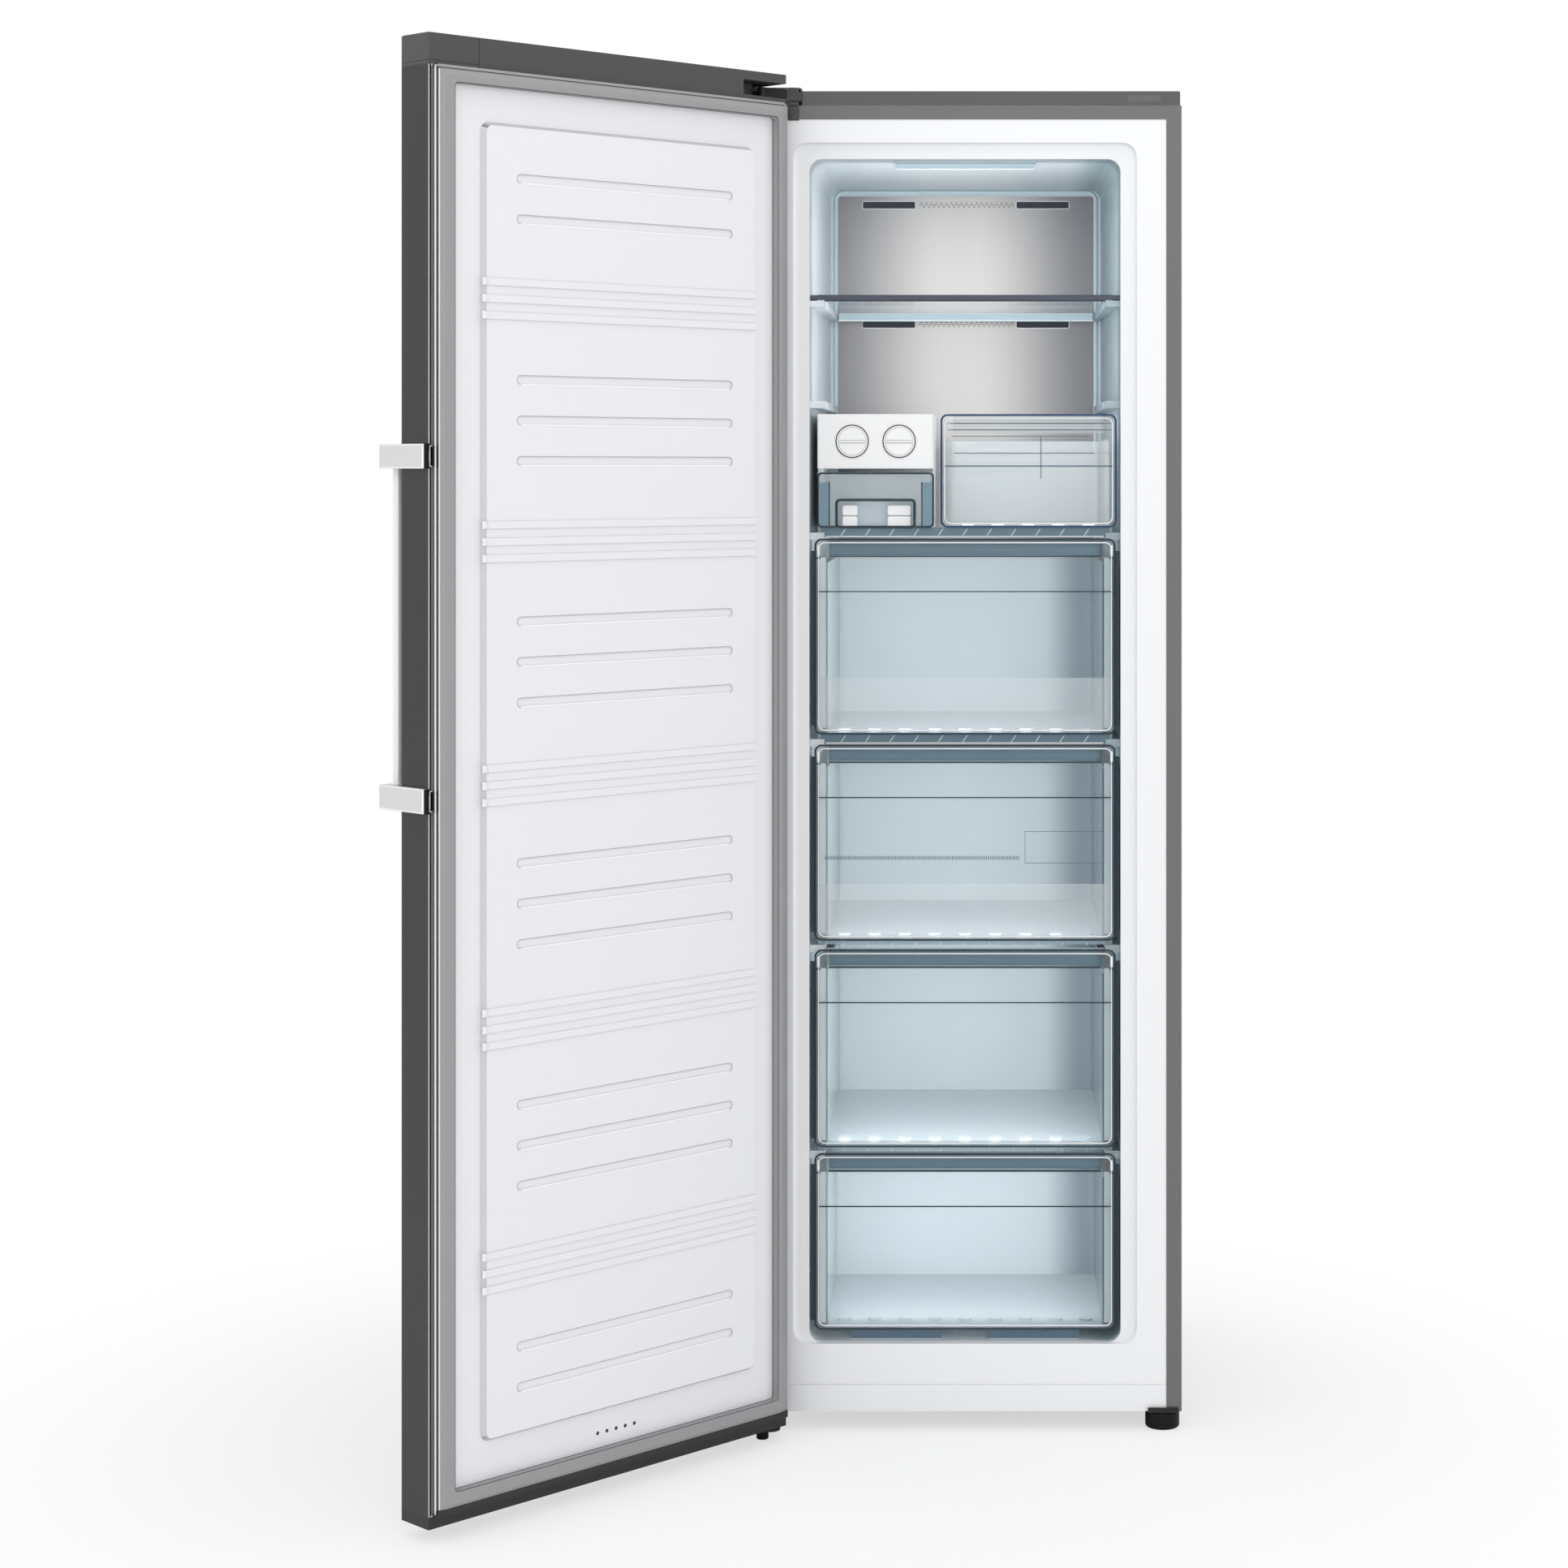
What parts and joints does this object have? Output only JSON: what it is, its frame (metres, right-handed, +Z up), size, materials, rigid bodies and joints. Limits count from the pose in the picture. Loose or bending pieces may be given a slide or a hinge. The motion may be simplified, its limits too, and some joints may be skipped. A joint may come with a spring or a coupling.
{
  "type": "upright freezer",
  "caption": "Tall upright freezer with one swinging door, clear drawers, glass shelf, twist ice maker and rear machine compartment, door open.",
  "frame": {"origin": "middle of the underside of the levelling foot at the hinge side, on the door's hinge axis at floor height", "axes": "+X towards the free side of the cabinet, +Y towards its rear, +Z up along the hinge axis"},
  "size_m": [1.0254, 1.0573, 1.8553],
  "materials": {
    "painted_steel": "satin grey paint",
    "graphite_steel": "brushed, dark graphite coating",
    "galvanised_steel": "zinc-coated sheet",
    "brushed_metal": "brushed bright face",
    "white_liner": "vacuum-formed white",
    "foam": "rigid foam",
    "grey_plastic": "moulded grey",
    "dark_plastic": "moulded dark grey",
    "black_plastic": "moulded black",
    "smoked_window": "smoked glossy",
    "white_plastic": "moulded white",
    "clear_blue_plastic": "clear with a blue tint",
    "lamp_lens": "frosted clear",
    "gasket_vinyl": "soft grey seal",
    "rubber": "black rubber",
    "glass": "toughened float glass",
    "stainless": "polished",
    "black_enamel": "black enamel",
    "copper_tube": "drawn tube",
    "aluminium": "mill finish",
    "circuit_board": "coated board",
    "zinc_screw": "zinc plated"
  },
  "bodies": {
    "cabinet": {"left_side_panel": "painted_steel", "right_side_panel": "painted_steel", "top_panel": "painted_steel", "rear_panel": "galvanised_steel", "base_plate": "galvanised_steel", "plinth_panel": "white_liner", "inner_liner": "white_liner", "foam_insulation": "foam", "top_cover": "grey_plastic", "control_window": "smoked_window", "circuit_boards": "circuit_board", "upper_hinge_bracket": "galvanised_steel", "hinge_cover": "grey_plastic", "lower_hinge_bracket": "galvanised_steel", "hinge_pins": "galvanised_steel", "roller_axles": "galvanised_steel", "compressor": "black_enamel", "compressor_mounts": "rubber", "condenser_pipes": "copper_tube", "evaporation_tray": "black_plastic", "compartment_cover": "painted_steel", "cord_gland": "black_plastic", "screws": "zinc_screw", "cover_plate": "brushed_metal", "evaporator_cover": "white_plastic", "evaporator_coil": "aluminium", "defrost_heater": "aluminium", "fan_motor": "black_enamel", "drain_hose": "black_plastic", "lamp_cover": "lamp_lens", "glass_shelf": "glass", "glass_shelf_trim": "white_plastic", "drawer_shelves": "clear_blue_plastic", "ice_maker_frame": "white_plastic"},
    "door": {"door_skin": "graphite_steel", "door_liner": "white_liner", "door_foam": "foam", "door_gasket": "gasket_vinyl", "door_top_cap": "grey_plastic", "door_bottom_cap": "dark_plastic", "hinge_bushes": "white_plastic", "handle_bar": "stainless", "handle_brackets": "stainless", "handle_mounts": "black_plastic", "handle_screws": "zinc_screw"},
    "left_tray_unit": {"ice_knob_left": "white_plastic", "ice_tray_left": "white_plastic"},
    "right_tray_unit": {"ice_knob_right": "white_plastic", "ice_tray_right": "white_plastic"},
    "drawer_1": {"drawer_1": "clear_blue_plastic"},
    "drawer_2": {"drawer_2": "clear_blue_plastic"},
    "drawer_3": {"drawer_3": "clear_blue_plastic"},
    "drawer_4": {"drawer_4": "clear_blue_plastic"},
    "upper_drawer": {"upper_drawer": "clear_blue_plastic"},
    "ice_bin": {"ice_bin": "clear_blue_plastic"},
    "fan_blade": {"fan_blade": "white_plastic"},
    "left_roller": {"left_roller": "black_plastic"},
    "right_roller": {"right_roller": "black_plastic"},
    "front_foot": {"front_foot": "black_plastic"},
    "hinge_foot": {"hinge_foot": "black_plastic"}
  },
  "joints": [
    {"name": "door_hinge", "type": "hinge", "parent": "cabinet", "child": "door", "pos_m": [0, 0, 0], "axis": [0, 0, -1], "range_deg": [-134.2, 0]},
    {"name": "drawer_1_slide", "type": "slide", "parent": "cabinet", "child": "drawer_1", "axis": [0, -1, 0], "range_m": [0, 0.28]},
    {"name": "drawer_2_slide", "type": "slide", "parent": "cabinet", "child": "drawer_2", "axis": [0, -1, 0], "range_m": [0, 0.28]},
    {"name": "drawer_3_slide", "type": "slide", "parent": "cabinet", "child": "drawer_3", "axis": [0, -1, 0], "range_m": [0, 0.28]},
    {"name": "drawer_4_slide", "type": "slide", "parent": "cabinet", "child": "drawer_4", "axis": [0, -1, 0], "range_m": [0, 0.2]},
    {"name": "upper_drawer_slide", "type": "slide", "parent": "cabinet", "child": "upper_drawer", "axis": [0, -1, 0], "range_m": [0, 0.28]},
    {"name": "ice_bin_slide", "type": "slide", "parent": "cabinet", "child": "ice_bin", "axis": [0, -1, 0], "range_m": [0, 0.2]},
    {"name": "ice_knob_left_turn", "type": "hinge", "parent": "cabinet", "child": "left_tray_unit", "pos_m": [0.1199, 0.057, 1.3575], "axis": [0, -1, 0], "range_deg": [-150, 0], "stiffness_Nm_per_rad": 0.05, "springref_deg": 8.59},
    {"name": "ice_knob_right_turn", "type": "hinge", "parent": "cabinet", "child": "right_tray_unit", "pos_m": [0.1847, 0.057, 1.3575], "axis": [0, -1, 0], "range_deg": [-150, 0], "stiffness_Nm_per_rad": 0.05, "springref_deg": 8.59},
    {"name": "fan_spin", "type": "hinge", "parent": "cabinet", "child": "fan_blade", "pos_m": [0.2755, 0.481, 0.886], "axis": [0, 1, 0], "continuous": true},
    {"name": "left_roller_spin", "type": "hinge", "parent": "cabinet", "child": "left_roller", "pos_m": [0.038, 0.577, 0.016], "axis": [1, 0, 0], "continuous": true},
    {"name": "right_roller_spin", "type": "hinge", "parent": "cabinet", "child": "right_roller", "pos_m": [0.513, 0.577, 0.016], "axis": [1, 0, 0], "continuous": true},
    {"name": "front_foot_turn", "type": "hinge", "parent": "cabinet", "child": "front_foot", "pos_m": [0.5475, 0.0565, 0], "axis": [0, 0, 1], "continuous": true},
    {"name": "hinge_foot_turn", "type": "hinge", "parent": "cabinet", "child": "hinge_foot", "pos_m": [0, 0, 0], "axis": [0, 0, 1], "continuous": true}
  ]
}
